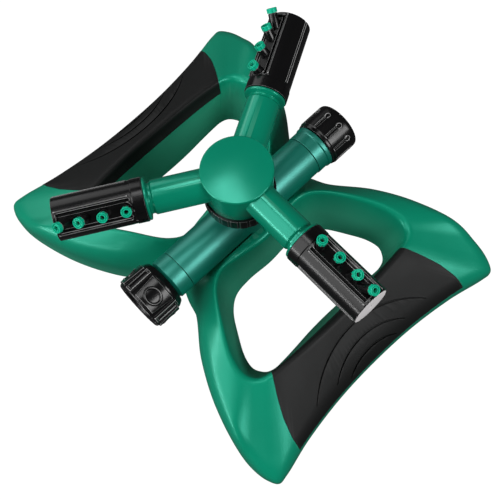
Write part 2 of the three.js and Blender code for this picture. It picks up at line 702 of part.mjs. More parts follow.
function build() {
  const part = new THREE.Group();
  part.name = 'sprinkler';
  const add = (name, solid, material) => part.add(toMesh(name, solid, PLASTIC[material]));

  add('stand_shell', standShell(), 'standGreen');
  const pad = gripPad();
  add('grip_pad_near', pad, 'softBlack');
  add('grip_pad_far', pad.mirror([0, 1, 0]), 'softBlack');
  add('stand_screw_inlet', standScrew(-SCREW_X), 'steel');
  add('stand_screw_cap', standScrew(SCREW_X), 'steel');

  add('water_pipe', waterPipe(), 'pipeGreen');
  add('inlet_sleeve', inletSleeve(), 'pipeGreen');
  add('outlet_sleeve', outletSleeve(), 'pipeGreen');
  add('inlet_tail', inletTail(), 'gloss');
  add('hose_washer', hoseWasher(), 'rubber');
  add('filter_screen', filterScreen(), 'bearing');
  add('spindle', spindle(), 'gloss');
  add('thrust_washer', thrustWasher(), 'bearing');

  add('inlet_nut', hoseNut(), 'gloss');
  add('end_cap', endCap(), 'gloss');
  add('cap_washer', capWasher(), 'rubber');

  add('hub_body', hubBody(), 'rotorGreen');
  add('hub_lid', hubLid(), 'rotorGreen');
  add('retaining_collar', retainingCollar(), 'gloss');
  add('spindle_seal', spindleSeal(), 'rubber');

  ARM_ANGLES.forEach((_, i) => {
    add(`arm_seal_${i}`, atArm(armSeal(), i), 'rubber');
    add(`nozzle_tube_${i}`, onTwistedArm(nozzleTube(), i), 'gloss');
    add(`end_plug_${i}`, onTwistedArm(endPlug(), i), 'plug');
    NOZZLES.forEach((nozzle, j) => {
      add(`nozzle_tip_${i}_${j}`, onTwistedArm(nozzleTip(nozzle), i), 'tip');
    });
  });
  return part;
}

export default build();
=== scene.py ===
"""Looks of a three-arm rotary lawn sprinkler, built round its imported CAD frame.

Sizes below are in mm and angles in degrees, unless a line says otherwise. X runs along the water pipe, from
the hose nut to the end cap. Y runs across the two wings, with the near wing on the -Y side. Z is up from the
ground.
"""
import json
import math

import bmesh
import bpy
import numpy as np
from mathutils import Matrix, Vector


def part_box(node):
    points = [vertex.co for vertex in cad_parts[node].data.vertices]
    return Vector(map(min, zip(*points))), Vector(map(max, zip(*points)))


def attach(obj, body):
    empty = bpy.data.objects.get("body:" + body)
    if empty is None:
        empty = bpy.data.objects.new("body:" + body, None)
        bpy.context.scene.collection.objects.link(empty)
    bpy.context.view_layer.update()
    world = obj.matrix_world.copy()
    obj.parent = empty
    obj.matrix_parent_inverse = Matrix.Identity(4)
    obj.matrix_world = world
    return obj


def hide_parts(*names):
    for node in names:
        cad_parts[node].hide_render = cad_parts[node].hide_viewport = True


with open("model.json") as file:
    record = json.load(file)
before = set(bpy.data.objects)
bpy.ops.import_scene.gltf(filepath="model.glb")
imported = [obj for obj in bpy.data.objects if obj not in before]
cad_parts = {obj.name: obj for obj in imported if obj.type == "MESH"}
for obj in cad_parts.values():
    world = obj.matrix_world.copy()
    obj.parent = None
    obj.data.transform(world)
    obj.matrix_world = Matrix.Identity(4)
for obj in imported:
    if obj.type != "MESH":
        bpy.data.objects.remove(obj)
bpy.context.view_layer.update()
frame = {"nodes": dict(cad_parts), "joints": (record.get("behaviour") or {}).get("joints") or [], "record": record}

MM = 0.001
GAP = 0.3    # clearance between pieces that fit together


def span(node, axis):
    """Lowest and highest coordinate of a CAD node along an axis, in mm."""
    low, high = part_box(node)
    return low[axis] / MM, high[axis] / MM


# ------------------------------------------------------------------ materials
def srgb(red, green, blue):
    """Linear colour from the usual 0 to 255 screen values."""
    def linear(value):
        value /= 255
        return value / 12.92 if value <= 0.04045 else ((value + 0.055) / 1.055) ** 2.4
    return (linear(red), linear(green), linear(blue), 1.0)


def scaled(color, factor, added=0.0):
    """The colour made lighter or darker by a factor, then paler by what is added to each channel."""
    return tuple(min(1.0, channel * factor + added) for channel in color[:3]) + (1.0,)


class Graph:
    """Short hand for a material's nodes and links."""

    def __init__(self, name):
        self.material = bpy.data.materials.new(name)
        self.material.use_nodes = True
        self.tree = self.material.node_tree
        self.shader = self.tree.nodes["Principled BSDF"]

    def node(self, kind, **values):
        made = self.tree.nodes.new(kind)
        for key, value in values.items():
            setattr(made, key, value)
        return made

    def link(self, source, target):
        self.tree.links.new(source, target)

    def noise(self, place, scale, detail=2.0, rough=0.5):
        made = self.node("ShaderNodeTexNoise")
        made.inputs["Scale"].default_value = scale
        made.inputs["Detail"].default_value = detail
        made.inputs["Roughness"].default_value = rough
        self.link(place, made.inputs["Vector"])
        return made.outputs["Fac"]

    def remap(self, value, low, high, to_low, to_high):
        made = self.node("ShaderNodeMapRange")
        ends = {"From Min": low, "From Max": high, "To Min": to_low, "To Max": to_high}
        for name, number in ends.items():
            made.inputs[name].default_value = number
        self.link(value, made.inputs["Value"])
        return made.outputs["Result"]

    def mix(self, factor, first, second):
        made = self.node("ShaderNodeMix", data_type="RGBA")
        self.link(factor, made.inputs["Factor"])
        for socket, value in ((made.inputs[6], first), (made.inputs[7], second)):
            if isinstance(value, tuple):
                socket.default_value = value
            else:
                self.link(value, socket)
        return made.outputs[2]

    def total(self, first, second):
        made = self.node("ShaderNodeMath", operation="ADD")
        self.link(first, made.inputs[0])
        self.link(second, made.inputs[1])
        return made.outputs[0]

    def bump(self, height, strength, distance):
        made = self.node("ShaderNodeBump")
        made.inputs["Strength"].default_value = strength
        made.inputs["Distance"].default_value = distance
        self.link(height, made.inputs["Height"])
        self.link(made.outputs["Normal"], self.shader.inputs["Normal"])


# How sharp an edge is, as the Pointiness output gives it (0.5 is flat): the edge keeps its own colour below the
# first value and takes the full paler edge colour above the second. That paler colour is partly wear and partly a
# painted highlight standing in for glints along sharp edges.
WEAR_AND_GLINT_STARTS, WEAR_AND_GLINT_FULL = 0.525, 0.555
BUMP_DEPTH = 0.1 * MM


def moulded(name, color, roughness, grain=3000, relief=0.12, mottle=0.07, edge_wear_and_glint=0.25, wear_and_glint_paleness=0.1, specular=0.5,
            tint=(1, 1, 1), ior=1.5):
    """Moulded plastic or rubber: fine grain, slow colour and gloss changes, faint scuffs, and paler sharp edges
    that are partly wear and partly a painted highlight.

    edge_wear_and_glint is how much of a sharp edge's own colour is lost, and wear_and_glint_paleness how much
    paler what shows there is.
    """
    g = Graph(name)
    place = g.node("ShaderNodeTexCoord").outputs["Object"]
    slow = g.noise(place, 22, 3)
    tone = g.mix(g.remap(slow, 0.3, 0.7, 0, 1), scaled(color, 1 - mottle), scaled(color, 1 + mottle))
    speck = g.noise(place, grain, 1)
    tone = g.mix(g.remap(speck, 0.35, 0.75, 0, 0.5), tone, scaled(color, 1 + 1.6 * mottle))
    sharpness = g.node("ShaderNodeNewGeometry").outputs["Pointiness"]
    edge = g.remap(sharpness, WEAR_AND_GLINT_STARTS, WEAR_AND_GLINT_FULL, 0, edge_wear_and_glint)
    # sharp edges are painted paler: partly wear, partly a painted highlight for edge glints
    g.link(g.mix(edge, tone, scaled(color, 1.4, wear_and_glint_paleness)), g.shader.inputs["Base Color"])

    # scuffs are long thin noise, stretched along one slanting direction
    stretch = g.node("ShaderNodeMapping")
    stretch.inputs["Scale"].default_value = (40, 900, 900)
    stretch.inputs["Rotation"].default_value = (0.3, 0.5, 0.7)
    g.link(place, stretch.inputs["Vector"])
    scuff = g.remap(g.noise(stretch.outputs["Vector"], 1, 1), 0.66, 0.8, 0, 0.03)
    gloss = g.remap(g.noise(place, 70, 2), 0.3, 0.7, roughness - 0.02, roughness + 0.02)
    g.link(g.total(gloss, scuff), g.shader.inputs["Roughness"])
    g.shader.inputs["Specular IOR Level"].default_value = specular
    g.shader.inputs["Specular Tint"].default_value = (*tint, 1)
    g.shader.inputs["IOR"].default_value = ior
    g.bump(g.total(g.noise(place, 2.3 * grain, 2), speck), relief, BUMP_DEPTH)
    return g.material


def steel(name):
    """Dull zinc-plated steel for the two screws."""
    g = Graph(name)
    place = g.node("ShaderNodeTexCoord").outputs["Object"]
    tone = g.mix(g.noise(place, 300, 3), srgb(150, 152, 155), srgb(190, 191, 194))
    g.link(tone, g.shader.inputs["Base Color"])
    g.link(g.remap(g.noise(place, 900, 2), 0.3, 0.7, 0.28, 0.45), g.shader.inputs["Roughness"])
    g.shader.inputs["Metallic"].default_value = 1.0
    g.bump(g.noise(place, 2500, 2), 0.1, BUMP_DEPTH)
    return g.material


GREEN_SHINE, TEAL_SHINE = (0.2, 1, 0.78), (0.28, 1, 0.88)
PLASTICS = {
    "stand_green": dict(
        color=srgb(8, 126, 97), roughness=0.3, grain=1800, relief=0.2, specular=0.7, tint=GREEN_SHINE),
    "pipe_green": dict(
        color=srgb(2, 96, 80), roughness=0.39, relief=0.05, specular=1.0, tint=TEAL_SHINE, ior=1.7),
    "rotor_green": dict(
        color=srgb(4, 118, 91), roughness=0.2, relief=0.05, specular=1.0, tint=GREEN_SHINE),
    "soft_black": dict(
        color=srgb(19, 20, 20), roughness=0.5, grain=1700, relief=0.4, edge_wear_and_glint=0.1, specular=0.17),
    # black plastic's sharp edges and rails are painted strongly paler: a little of it is wear, most is a painted
    # highlight for their glint lines
    "black_plastic": dict(
        color=srgb(9, 9, 10), roughness=0.22, relief=0.04, edge_wear_and_glint=1.0, wear_and_glint_paleness=0.32, specular=0.35),
    "tip_turquoise": dict(color=srgb(8, 165, 130), roughness=0.3, relief=0.06, tint=GREEN_SHINE),
    "plug_grey": dict(color=srgb(235, 232, 233), roughness=0.5, mottle=0.04, specular=0.3),
    "seal_rubber": dict(color=srgb(22, 22, 22), roughness=0.7, relief=0.3),
    "bearing_white": dict(color=srgb(228, 226, 218), roughness=0.45, mottle=0.03),
}
MATERIALS = {name: moulded(name, **finish) for name, finish in PLASTICS.items()}
MATERIALS["screw_steel"] = steel("screw_steel")
SLOT_OF = {part["node"]: part["material_slot"] for part in frame["record"]["subparts"]}
for node_name, node in frame["nodes"].items():
    node.data.materials.clear()
    node.data.materials.append(MATERIALS[SLOT_OF[node_name]])


# --------------------------------------------------------------- mesh helpers
SAME_POINT, NO_LENGTH = 1e-7, 1e-8    # in metres


def solid(name, points, faces):
    """A new object from mm points, with doubled points merged and its faces turned outward."""
    mesh = bpy.data.meshes.new(name)
    mesh.from_pydata((np.asarray(points, float) * MM).tolist(), [], faces)
    work = bmesh.new()
    work.from_mesh(mesh)
    bmesh.ops.remove_doubles(work, verts=work.verts, dist=SAME_POINT)
    bmesh.ops.dissolve_degenerate(work, edges=work.edges, dist=NO_LENGTH)
    if work.calc_volume(signed=True) < 0:
        bmesh.ops.reverse_faces(work, faces=work.faces)
    work.to_mesh(mesh)
    work.free()
    item = bpy.data.objects.new(name, mesh)
    bpy.context.scene.collection.objects.link(item)
    return item


def grid_faces(rows, columns, close_rows):
    """Four-cornered faces of a grid of points whose last column joins its first. Rows join up if asked."""
    i = np.arange(rows if close_rows else rows - 1)[:, None]
    j = np.arange(columns)[None, :]
    right = (j + 1) % columns
    below = (i + 1) % rows
    corners = (i * columns + j, i * columns + right, below * columns + right, below * columns + j)
    return np.stack(corners, axis=-1).reshape(-1, 4).tolist()


def combine(target, operation, *tools):
    """Joins, cuts or intersects target with each tool, which is used up."""
    for tool in tools:
        change = target.modifiers.new("change", "BOOLEAN")
        change.solver = "MANIFOLD"
        change.operation = operation
        change.object = tool
        evaluated = target.evaluated_get(bpy.context.evaluated_depsgraph_get())
        mesh = bpy.data.meshes.new_from_object(evaluated)
        target.modifiers.clear()
        target.data = mesh
        bpy.data.objects.remove(tool)
    return target


def unite(target, *tools):
    return combine(target, "UNION", *tools)


def cut(target, *tools):
    return combine(target, "DIFFERENCE", *tools)


def clip(target, *tools):
    return combine(target, "INTERSECT", *tools)


def moved(item, matrix):
    """The object with its mesh moved by a matrix whose shift is in metres."""
    item.data.transform(matrix)
    return item


def shift(x=0, y=0, z=0):
    return Matrix.Translation(Vector((x, y, z)) * MM)


def turn(degrees, axis):
    return Matrix.Rotation(math.radians(degrees), 4, axis)


def rounded(corners, size, steps=4):
    """An outline with its corners rounded. A corner is (radius, height) or (radius, height, own size).

    An outline that starts and ends on the axis stays open there. Any other closes on itself.
    """
    last = len(corners)
    closed = not (corners[0][0] == 0 and corners[-1][0] == 0)
    made = []
    for i, corner in enumerate(corners):
        here = np.array(corner[:2], float)
        reach = corner[2] if len(corner) > 2 else size
        if corner[0] == 0 or (not closed and i in (0, last - 1)):
            made.append(here)
            continue
        before = np.array(corners[i - 1][:2], float)
        after = np.array(corners[(i + 1) % last][:2], float)
        start = here + (before - here) * min(0.45, reach / np.linalg.norm(before - here))
        end = here + (after - here) * min(0.45, reach / np.linalg.norm(after - here))
        for f in np.linspace(0, 1, steps + 1):
            made.append((1 - f) ** 2 * start + 2 * f * (1 - f) * here + f * f * end)
    return np.array(made)


def refined(outline, step):
    """The closed outline with more points on its long sides."""
    made = []
    for here, after in zip(outline, np.roll(outline, -1, axis=0)):
        count = max(1, int(np.linalg.norm(after - here) / step))
        made.extend(here + (after - here) * k / count for k in range(count))
    return np.array(made)


def ring(inner, outer, start, end):
    """Corners of a plain ring's section, or of a plain rod's where inner is 0."""
    return [(inner, start), (outer, start), (outer, end), (inner, end)]


def turned(name, corners, size=0.3, facets=96, shape=None, step=None):
    """A body turned about +Z. shape(angle, radius, height) may change the radius from place to place.

    size is how far its corners are rounded, and step the longest stretch of outline without a point.
    """
    outline = rounded(corners, size)
    if step:
        outline = refined(outline, step)
    closed = outline[:, 0].min() > 0
    angle = np.linspace(0, 2 * math.pi, facets, endpoint=False)[None, :]
    radius, height = outline[:, :1], outline[:, 1:]
    around = shape(angle, radius, height) if shape else radius + 0 * angle
    points = np.stack([around * np.cos(angle), around * np.sin(angle), height + 0 * angle], axis=-1)
    return solid(name, points.reshape(-1, 3), grid_faces(len(outline), facets, closed))


def rod(radius, low, high, facets=64):
    """A plain tool for cutting holes."""
    return turned("tool", ring(0, radius, low, high), 0, facets)


def block(x0, x1, y0, y1, z0, z1):
    """A plain box between two values on each axis."""
    corners = [(x, y, z) for x in (x0, x1) for y in (y0, y1) for z in (z0, z1)]
    faces = [(0, 1, 3, 2), (4, 6, 7, 5), (0, 4, 5, 1), (2, 3, 7, 6), (0, 2, 6, 4), (1, 5, 7, 3)]
    return solid("tool", corners, faces)


def prism(outline, low, high):
    """An upright prism over an outline of (x, y) points."""
    count = len(outline)
    points = [(x, y, z) for z in (low, high) for x, y in outline]
    sides = [(i, (i + 1) % count, count + (i + 1) % count, count + i) for i in range(count)]
    return solid("tool", points, [*sides, tuple(reversed(range(count))), tuple(range(count, 2 * count))])


def show(item, name, body, slot, *nodes, sharp=35):
    """Finishes a piece: shading, material, the body it rides on and the CAD nodes it stands for."""
    item.name = name
    item.data.name = name
    item.data.materials.clear()
    item.data.materials.append(MATERIALS[slot])
    item.data.polygons.foreach_set("use_smooth", [True] * len(item.data.polygons))
    item.data.set_sharp_from_angle(angle=math.radians(sharp))
    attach(item, body)
    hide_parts(*nodes)
    return item


def plateau(distance, half, edge):
    """1 where distance is under half, falling smoothly to 0 over edge beyond it."""
    f = np.clip((half + edge - distance) / edge, 0, 1)
    return f * f * (3 - 2 * f)


# ------------------------------------------------------------- stand and pads
EDGE_MIDDLE, EDGE_HOLLOW, EDGE_TIP_X = 126, 12.8, 98    # a wing's hollow outer edge
SHOULDER_ROUND, CREST_ROUND = 14, 5
SHELL_WALL = 3
ABOVE_STAND = 70                                        # higher than any point of the wings


def outer_edge(x):
    """Distance of a wing's outer edge from the pipe."""
    return EDGE_MIDDLE + EDGE_HOLLOW * (abs(x) / EDGE_TIP_X) ** 2.2


# Half of each loop that shapes a wing: x, distance from the pipe, height. The shoulder runs round the
# outside, the crest along the top, and the hole round the foot of the hand hole.
SHOULDER = [
    (0, -2, 44), (34, -2, 43), (58, 0, 24), (66, 20, 28), (84.5, 45.5, 31), (98.5, 73, 31.5),
    (106.8, 100, 30), (109.2, 118, 19), (107.3, 131.5, 12), (103, 138.6, 9), (95.5, outer_edge(95.5), 10),
    (70, outer_edge(70), 12), (35, outer_edge(35), 13.5), (0, EDGE_MIDDLE, 14),
]
CREST = [
    (0, 22.5, 47), (22, 19.5, 47), (36, 17.5, 47), (46.5, 23, 48), (62, 45, 48.5), (72, 64, 44),
    (74, 77, 40), (71, 84, 39.5), (67, 87, 39.8), (62.5, 88.5, 40.5), (55, 89.7, 41), (40, 91.3, 41.3),
    (20, 92.3, 41.3), (0, 92.5, 41.3),
]
HOLE = [
    (0, 24.5, 0), (20, 23.5, 0), (34, 25.5, 0), (43.5, 32.5, 0), (53.5, 48, 0), (60.5, 62, 0), (62, 71, 0),
    (60, 76, 0), (56.5, 79.8, 0), (51, 81.6, 0), (45, 81.7, 0), (32, 81, 0), (16, 79.8, 0), (0, 79.4, 0),
]


def smooth_loop(half, per_span):
    """Points round a closed loop through the half loop and its mirror image."""
    knots = np.array(half + [(-x, d, z) for x, d, z in half[-2:0:-1]], float)
    before, after, beyond = (np.roll(knots, k, axis=0) for k in (1, -1, -2))
    gap = np.sqrt(np.linalg.norm(after - knots, axis=1))[:, None]
    gap_before, gap_after = np.roll(gap, 1, axis=0), np.roll(gap, -1, axis=0)
    here_to_after = (after - knots) / gap
    start = gap * ((knots - before) / gap_before - (after - before) / (gap_before + gap) + here_to_after)
    end = gap * (here_to_after - (beyond - knots) / (gap + gap_after) + (beyond - after) / gap_after)
    w = (np.arange(per_span) / per_span)[None, :, None]
    start, end, p, q = (v[:, None, :] for v in (start, end, knots, after))
    points = p + w * start + w**2 * (3 * (q - p) - 2 * start - end) + w**3 * (2 * (p - q) + start + end)
    return points.reshape(-1, 3)


def bend(a, b, c, reach, steps):
    """Points on a smooth bend that replaces the corner b between a and c, for every column at once."""
    start = b + (a - b) * np.minimum(0.7, reach / np.linalg.norm(a - b, axis=1))[:, None]
    end = b + (c - b) * np.minimum(0.45, reach / np.linalg.norm(c - b, axis=1))[:, None]
    return [(1 - f) ** 2 * start + 2 * f * (1 - f) * b + f * f * end for f in np.linspace(0, 1, steps + 1)]


def wing(side, swell=0.0, floor=0.0, per_span=10, steps=10):
    """One wing as a closed ring, its surface moved outward by swell and its foot put at the height floor.

    side is -1 for the near wing. Where wings cut each other, their floors differ so that no faces coincide.
    """
    shoulder, crest, hole = (smooth_loop(half, per_span) for half in (SHOULDER, CREST, HOLE))
    ground = shoulder * (1, 1, 0)
    rows = [ground, *bend(ground, shoulder, crest, SHOULDER_ROUND, steps)]
    rows += [*bend(shoulder, crest, hole, CREST_ROUND, steps), hole]
    surface = np.stack(rows, axis=1)
    along = np.roll(surface, -1, axis=0) - np.roll(surface, 1, axis=0)
    across = np.gradient(surface, axis=1)
    normal = np.cross(along, across)
    normal /= np.linalg.norm(normal, axis=2)[:, :, None]
    surface = surface + normal * swell
    surface[:, [0, -1], 2] = floor
    surface[:, :, 1] *= side
    columns, count = surface.shape[:2]
    faces = grid_faces(columns, count, True)
    return solid("wing", surface.reshape(-1, 3), faces)


PAD_DEPTH, PAD_PROUD, PAD_OVERHANG = 1.5, 0.2, 2
PAD_FOOT, PAD_INNER_FOOT = 8.5, 28           # lower borders: on the outer wall, on the hand hole's wall
PAD_INNER_REACH, PAD_INNER_HALF = 97, 70     # where the second of them holds
PAD_SIDE = [(52, 74), (57, 83), (61, 90), (68, 101.5), (74, 113), (78, 125), (79, 134)]    # x, distance
PAD_OUTER_X = 79.5
GROOVES = [(180, 78, 42), (166, 55, 36), (167, 48, 27)]    # centre distance, radius, half angle
GROOVE_WIDTH, GROOVE_DEPTH, GROOVE_POINTS = 1.5, 1.1, 49


def pad_prism(side, inset):
    """Upright prism over the pad's outline, drawn in by inset."""
    distances = np.linspace(PAD_SIDE[0][1], PAD_SIDE[-1][1], 24)
    known = np.array(PAD_SIDE)
    flank = [(np.interp(d, known[:, 1], known[:, 0]) - inset, d) for d in distances]
    half = flank + [(x, outer_edge(x) + PAD_OVERHANG) for x in np.linspace(PAD_OUTER_X, 0, 12)]
    whole = half + [(-x, d) for x, d in half[-2::-1]]
    reach = sorted((0, side * PAD_INNER_REACH))
    inner_wall = block(-PAD_INNER_HALF, PAD_INNER_HALF, *reach, 0, PAD_INNER_FOOT + inset)
    return cut(prism([(x, side * d) for x, d in whole], PAD_FOOT + inset, ABOVE_STAND), inner_wall)


def groove_prism(side, centre, radius, half):
    """A crescent that tapers to both ends, as an upright prism."""
    f = np.linspace(0, 1, GROOVE_POINTS)
    angle = np.radians(90 - half + 2 * half * f)
    width = GROOVE_WIDTH * (0.4 + np.sin(np.pi * f)) / 1.4

    def arc(radii):
        return [(r * math.cos(a), side * (centre - r * math.sin(a))) for r, a in zip(radii, angle)]

    return prism(arc(radius + width / 2) + arc(radius - width / 2)[::-1], PAD_FOOT, ABOVE_STAND)


def grip_pad(side):
    """A pad as a layer of the wing's skin inside the pad's outline, with the crescents cut into it."""
    skin = cut(wing(side, PAD_PROUD, -3), wing(side, GAP - PAD_DEPTH, -4))
    pad = clip(skin, pad_prism(side, GAP))
    layer = cut(wing(side, 3, -5), wing(side, PAD_PROUD - GROOVE_DEPTH, -6))
    crescents = unite(*(groove_prism(side, *groove) for groove in GROOVES))
    return cut(pad, clip(layer, crescents))


# The ribs fan out from the middle of the hand hole, RIB_HUB away from the pipe.
RIB_ANGLES, RIB_THICKNESS, RIB_HUB = (-65, -20, 20, 160, 200, 245), 2, 58
CRADLE_RADIUS, CRADLE_WALL, CRADLE_END, CRADLE_SIDE, PAST_CRADLE = 15.6, 2.8, 59, 25, 70
SCREW_X, BOSS_RADIUS, BOSS_FLOOR, BOSS_PLATE = 34, 7.5, 26, 3
POST_RADIUS, WELL_RADIUS, SCREW_HOLE_RADIUS, SCREW_BITE_RADIUS = 4.5, 5, 1.9, 1.8

AXIS_HEIGHT = sum(span("end_cap", 2)) / 2
# Takes a body turned about +Z onto the pipe's axis: its +X side goes to the top and its +Y side to -Y.
ONTO_X = Matrix(((0, 0, 1, 0), (0, -1, 0, 0), (1, 0, 0, 0), (0, 0, 0, 1)))
ON_PIPE = shift(z=AXIS_HEIGHT) @ ONTO_X


def wing_ribs(side):
    """Cross ribs under a wing, cut off where they reach its skin."""
    plates = []
    for angle in RIB_ANGLES:
        plate = block(10, 130, -RIB_THICKNESS / 2, RIB_THICKNESS / 2, 1, 60)
        plates.append(moved(plate, shift(y=side * RIB_HUB) @ turn(-side * angle, "Z")))
    return clip(unite(*plates), wing(side, -1, 1))


def stand_shell():
    """Both wings, hollow from below, with ribs, a cradle for the pipe, screw bosses and pad beds."""
    shell = unite(wing(-1), wing(1))
    cradle = moved(rod(CRADLE_RADIUS + CRADLE_WALL, -PAST_CRADLE, PAST_CRADLE, 96), ON_PIPE)
    cradle_room = block(-CRADLE_END, CRADLE_END, -CRADLE_SIDE, CRADLE_SIDE, 0, AXIS_HEIGHT)
    cradle = clip(cradle, unite(wing(-1), wing(1)), cradle_room)
    shell = cut(shell, wing(-1, -SHELL_WALL, -2), wing(1, -SHELL_WALL, -2))
    shell = unite(shell, wing_ribs(-1), wing_ribs(1), cradle)
    for side in (-1, 1):
        layer = cut(wing(side, 4, -5), wing(side, -PAD_DEPTH, -6))
        shell = cut(shell, clip(layer, pad_prism(side, 0)))
    for x in (-SCREW_X, SCREW_X):
        shell = unite(shell, moved(rod(BOSS_RADIUS, BOSS_FLOOR - BOSS_PLATE, 40), shift(x)))
    shell = cut(shell, moved(rod(CRADLE_RADIUS, -PAST_CRADLE, PAST_CRADLE, 96), ON_PIPE))
    for x in (-SCREW_X, SCREW_X):
        shell = cut(shell, moved(rod(WELL_RADIUS, -1, BOSS_FLOOR - BOSS_PLATE), shift(x)))
        shell = cut(shell, moved(rod(POST_RADIUS + GAP, BOSS_FLOOR, 60), shift(x)))
        shell = cut(shell, moved(rod(SCREW_HOLE_RADIUS, 10, 60, 32), shift(x)))
    return shell


show(stand_shell(), "stand_body", "stand", "stand_green", "stand_shell")
show(grip_pad(-1), "grip_near", "stand", "soft_black", "grip_pad_near")
show(grip_pad(1), "grip_far", "stand", "soft_black", "grip_pad_far")

# -------------------------------------------------------- water pipe and fittings
PIPE_RADIUS, PIPE_BORE, PIPE_FACETS = 14.5, 11.3, 128
PIPE_START, PIPE_END = span("water_pipe", 0)
RISER_TOP = span("water_pipe", 2)[1]
RISER_RADIUS, RISER_BORE = 12.5, 8.2


def on_pipe(corners, size=0.3, facets=96, shape=None, step=None):
    """A body turned about the pipe's axis. A corner is (radius, place along +X)."""
    return moved(turned("part", corners, size, facets, shape, step), ON_PIPE)


def water_pipe():
    """The pipe with its riser and the two posts that take the screws, bored through."""
    tube = on_pipe(ring(0, PIPE_RADIUS, PIPE_START, PIPE_END), 0.25, PIPE_FACETS)
    riser = turned("riser", [
        (0, AXIS_HEIGHT), (RISER_RADIUS + 4.5, AXIS_HEIGHT), (RISER_RADIUS + 2.2, 67.2, 2.5),
        (RISER_RADIUS + 1.5, 68.5), (RISER_RADIUS, 69.2), (RISER_RADIUS, RISER_TOP, 1), (0, RISER_TOP)], 0.6)
    tube = unite(tube, riser)
    for x in (-SCREW_X, SCREW_X):
        tube = unite(tube, moved(rod(POST_RADIUS, BOSS_FLOOR + GAP, AXIS_HEIGHT - PIPE_BORE - 1), shift(x)))
    tube = cut(tube, moved(rod(PIPE_BORE, PIPE_START - 1, PIPE_END + 1, 96), ON_PIPE))
    tube = cut(tube, rod(RISER_BORE, AXIS_HEIGHT, RISER_TOP + 1, 96))
    for x in (-SCREW_X, SCREW_X):
        tube = cut(tube, moved(rod(SCREW_BITE_RADIUS, 20, 38.5, 32), shift(x)))
    return tube


THREAD_CREST, THREAD_ROOT, THREAD_PITCH = 13.2, 12.3, 2.2


def thread(low, high, crest, root, pitch=THREAD_PITCH):
    """Radius change that winds a thread between two heights on the surface whose radius is crest.

    A root under crest makes an outside thread. In a bore, root is the radius of the ridges.
    """
    def shape(angle, radius, height):
        wave = 0.5 + 0.5 * np.sin(2 * np.pi * height / pitch - angle)
        zone = plateau(abs(height - (low + high) / 2), (high - low) / 2 - 1, 1)
        threaded = abs(radius - crest) < 0.05
        return radius + threaded * zone * (root - crest) * wave
    return shape


show(water_pipe(), "tee_pipe", "stand", "pipe_green", "water_pipe")

INLET_FACE, INLET_END = PIPE_START - GAP, span("inlet_sleeve", 0)[0]
SLEEVE_PLUG_RADIUS, SLEEVE_PLUG_REACH = 11, 48    # the part of a sleeve that sits in the pipe's bore
inlet_socket = on_pipe([
    (PIPE_RADIUS, INLET_FACE), (SLEEVE_PLUG_RADIUS, INLET_FACE), (SLEEVE_PLUG_RADIUS, -SLEEVE_PLUG_REACH),
    (9.2, -SLEEVE_PLUG_REACH), (9.2, INLET_END + 1.1), (12.6, INLET_END), (PIPE_RADIUS, INLET_END + 1.7),
], 0.25, PIPE_FACETS)
show(inlet_socket, "inlet_socket", "stand", "pipe_green", "inlet_sleeve")

OUTLET_FACE, OUTLET_END = PIPE_END + GAP, span("outlet_sleeve", 0)[1]
OUTLET_RADIUS, THREAD_START, THREAD_END = 15, 69, OUTLET_END - 0.8
outlet_socket = on_pipe([
    (SLEEVE_PLUG_RADIUS, OUTLET_FACE), (OUTLET_RADIUS, OUTLET_FACE), (OUTLET_RADIUS, 65.3), (15.8, 66),
    (15.8, 68.6), (THREAD_CREST, THREAD_START), (THREAD_CREST, THREAD_END), (12.4, OUTLET_END),
    (9.5, OUTLET_END), (9.5, SLEEVE_PLUG_REACH), (SLEEVE_PLUG_RADIUS, SLEEVE_PLUG_REACH),
], 0.25, PIPE_FACETS, thread(THREAD_START, THREAD_END, THREAD_CREST, THREAD_ROOT), 0.35)
show(outlet_socket, "outlet_socket", "stand", "pipe_green", "outlet_sleeve")

TAIL_BORE, TAIL_RADIUS, TAIL_FLANGE, TAIL_FACE = 6.8, 10.3, 12.3, -78
inlet_tailpiece = on_pipe([
    (TAIL_BORE, -50), (8.9, -50), (8.9, -69.6), (TAIL_RADIUS, -69.6), (TAIL_RADIUS, -75.6),
    (TAIL_FLANGE, -75.6), (TAIL_FLANGE, TAIL_FACE), (TAIL_BORE, TAIL_FACE),
], 0.2)
show(inlet_tailpiece, "inlet_tailpiece", "stand", "black_plastic", "inlet_tail")
hose_seal = on_pipe(ring(8.5, TAIL_FLANGE, TAIL_FACE - GAP, -81.3), 0.6)
show(hose_seal, "hose_seal", "stand", "seal_rubber", "hose_washer")
cap_seal = on_pipe(ring(8.5, 12.9, 84.7, 87.1), 0.5)
show(cap_seal, "cap_seal", "cap_travel", "seal_rubber", "cap_washer")

# ------------------------------------------------------------------- hose nut
NUT_START, NUT_END = span("inlet_nut", 0)
NUT_RADIUS, PANEL_RADIUS = 18, 19.3
NUT_PANELS, NUT_TURN = 4, 23.5
NUT_SHOULDER, NUT_COLLAR, NUT_MIDDLE = -73.2, -73, -83    # places along the pipe
PANEL_HALF, PANEL_LENGTH_HALF, PANEL_SLANT = 9, 8, 0.12
HOLLOW_MIDDLE, HOLLOW_WIDE, HOLLOW_LONG, HOLLOW_DEPTH = -83.5, 5.4, 4.6, 0.9


def from_middle(angle, count, start):
    """Angle from the middle of the nearest of count equal sectors, in radians."""
    sector = 2 * math.pi / count
    return (angle - math.radians(start) + sector / 2) % sector - sector / 2


